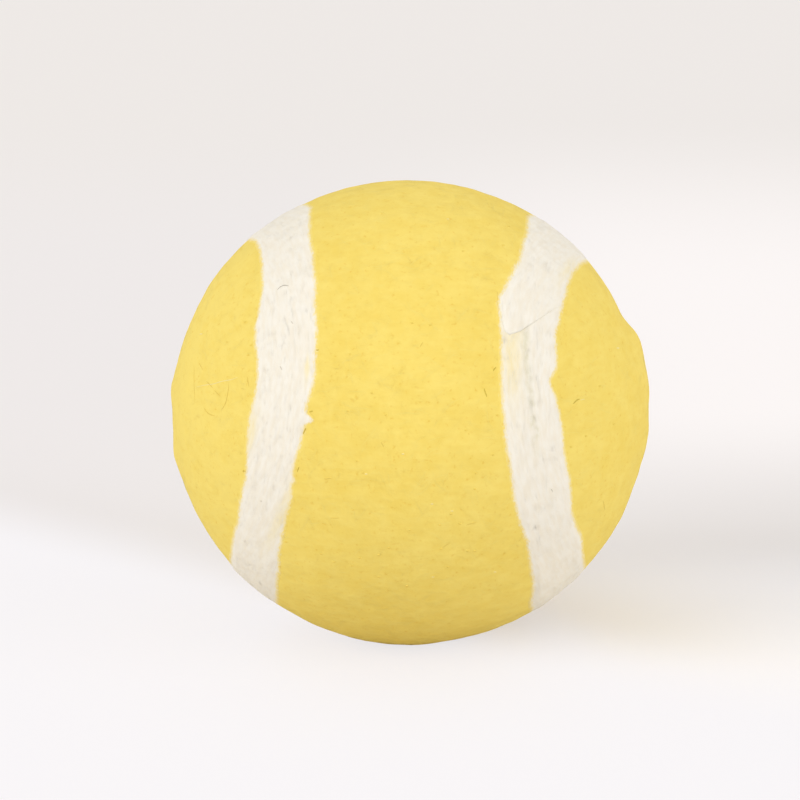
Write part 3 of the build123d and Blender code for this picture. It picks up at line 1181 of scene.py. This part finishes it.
def build_ball():
    """All pieces of the ball, from the inside out."""
    tree = fibre_tree()
    build_inside(tree)
    coat = build_coat(tree)
    strips = build_band(tree)
    build_marks([coat, *strips])


# The paper, the light and the camera


# The paper's tones, which carry painted light and shade: in front of the ball, left of and behind it, right
# of it going back, far behind
PAPER_NEAR = colour(0.887, 0.867, 0.886)
# greyer left of and behind the ball: painted shade
PAPER_LEFT = colour(0.88, 0.849, 0.844)
PAPER_OPEN = colour(0.985, 0.972, 1.0)  # right, beside the ball; bluer to offset the yellow light that the ball throws on it
PAPER_PAINTED_SHADOW = colour(0.885, 0.855, 0.845)  # painted shadow of the ball, right of it and a little behind it
PAPER_RIGHT = colour(0.992, 0.958, 0.952)  # right, well behind the ball, painted lighter: painted light from the right
# greyer far behind: painted shade
PAPER_FAR = colour(0.872, 0.84, 0.817)
PAPER_FOR_BALL = colour(0.75, 0.73, 0.725)  # what the ball sees of it
# Where one tone turns into the next
PAINTED_SHADOW_FADE_MM = (20.0, 60.0)  # going back
RIGHT_FADE_MM = (70.0, 160.0)  # going back
SIDE_FADE_MM = (-40.0, 60.0)  # from left to right
FAR_FADE_MM = (280.0, 620.0)  # going back
BEHIND_FADE_MM = (-6.0, 34.0)  # going back on a slant
BEHIND_SLANT = 0.85  # how much nearer that lies for each length to the right
PAPER_WHOLE = 1.08  # what the paper gives back and its glow add up to
GLOW_NEAR = 0.86  # share of its colour that glows for the camera whatever the light, in front of the ball: painted light that washes out the ball's shadow there
GLOW_FAR = 0.15  # the same behind the ball
PAPER_HALF_WIDTH = 4.0

ROOM_LIGHT = colour(1.0, 0.985, 0.975)
ROOM_STRENGTH = 0.66
ROOM_SEEN = colour(0.86, 0.83, 0.82)
# Lamps: name, strength, spread, direction towards the lamp
LAMPS = (
    ("window_light", 1.23, 40.0, (-0.78, -0.52, 0.36)),
    ("side_fill", 1.50, 50.0, (0.88, -0.44, 0.15)),
)


def picture_rays(nodes):
    """1 for rays that show the background: straight, mirrored or through glass."""
    rays = nodes.node("ShaderNodeLightPath", {}, {}, "Is Camera Ray")
    mirrored = rays.math("MAXIMUM", rays, rays.other("Is Glossy Ray"))
    return rays.math("MAXIMUM", mirrored, rays.other("Is Transmission Ray"))


def pale_paper():
    """Floor paper, bright in front of the ball and duller behind it. It glows for the camera, most in front
    of the ball, as painted light that washes out the ball's shadow, and its tones carry painted shade and
    light.
    """
    material, nodes, shader = new_material("pale_paper")
    parts = nodes.node("ShaderNodeSeparateXYZ", {}, {"Vector": object_place(nodes)})
    rightward = parts.other("X")
    backward = parts.other("Y")

    def fade(value, ends_mm):
        return ramp(nodes, value, [end * MM for end in ends_mm], "SMOOTHSTEP")

    # painted shadow of the ball on the paper, right of it and a little behind it
    corner = nodes.mixed(fade(backward, PAINTED_SHADOW_FADE_MM), PAPER_OPEN, PAPER_PAINTED_SHADOW)
    right = nodes.mixed(fade(backward, RIGHT_FADE_MM), corner, PAPER_RIGHT)
    beyond = nodes.mixed(fade(rightward, SIDE_FADE_MM), PAPER_LEFT, right)
    receding = nodes.mixed(fade(backward, FAR_FADE_MM), beyond, PAPER_FAR)
    behind = fade(backward + rightward * BEHIND_SLANT, BEHIND_FADE_MM)
    tint = nodes.mixed(behind, PAPER_NEAR, receding)
    # painted light: the paper glows for the camera, most in front of the ball
    glow = GLOW_NEAR + behind * (GLOW_FAR - GLOW_NEAR)
    seen = picture_rays(nodes)
    base = nodes.mixed(seen, PAPER_FOR_BALL, tint.scaled(PAPER_WHOLE - glow))
    nodes.tree.links.new(base.socket, shader.inputs["Base Color"])
    nodes.tree.links.new(tint.scaled(glow * seen).socket, shader.inputs["Emission Color"])
    shader.inputs["Emission Strength"].default_value = 1.0
    return material


def build_stage():
    """The paper that the ball sits on."""
    near, far = -PAPER_HALF_WIDTH, PAPER_HALF_WIDTH
    corners = np.array([(near, near, 0.0), (far, near, 0.0), (far, far, 0.0), (near, far, 0.0)])
    new_object("paper_floor", corners, [(0, 1, 2, 3)], pale_paper())


def build_light():
    """A pale room that gives even light, and two wide lamps."""
    scene = bpy.context.scene
    world = bpy.data.worlds.new("pale_room")
    world.use_nodes = True
    nodes = Wire(world.node_tree)
    world.node_tree.nodes.clear()
    lit = nodes.node("ShaderNodeBackground", {}, {"Color": ROOM_LIGHT, "Strength": ROOM_STRENGTH})
    seen = nodes.node("ShaderNodeBackground", {}, {"Color": ROOM_SEEN, "Strength": 1.0})
    both = nodes.node("ShaderNodeMixShader", {}, {0: picture_rays(nodes), 1: lit, 2: seen})
    leave = world.node_tree.nodes.new("ShaderNodeOutputWorld")
    world.node_tree.links.new(both.socket, leave.inputs["Surface"])
    scene.world = world

    for name, energy, spread, towards in LAMPS:
        light = bpy.data.lights.new(name, "SUN")
        light.energy = energy
        light.angle = math.radians(spread)
        lamp = bpy.data.objects.new(name, light)
        lamp.rotation_euler = Vector(towards).to_track_quat("Z", "Y").to_euler()
        scene.collection.objects.link(lamp)


def build_camera():
    """Camera in front of the ball, a little above it."""
    scene = bpy.context.scene
    data = bpy.data.cameras.new("camera")
    data.sensor_width = SENSOR_MM
    data.lens = data.sensor_width / 2 / HALF_VIEW
    data.shift_x = (PICTURE_PIXELS / 2 - BALL_PIXEL[0]) / PICTURE_PIXELS
    data.shift_y = (BALL_PIXEL[1] - PICTURE_PIXELS / 2) / PICTURE_PIXELS
    data.clip_start = NEAR_CLIP_MM * MM
    camera = bpy.data.objects.new("camera", data)
    axes = Matrix((RIGHT, UP, BACK)).transposed().to_4x4()
    camera.matrix_world = Matrix.Translation(CENTRE + BACK * CAMERA_DISTANCE_MM * MM) @ axes
    scene.collection.objects.link(camera)
    scene.camera = camera
    scene.view_settings.view_transform = "Standard"


build_ball()
build_stage()
build_light()
build_camera()
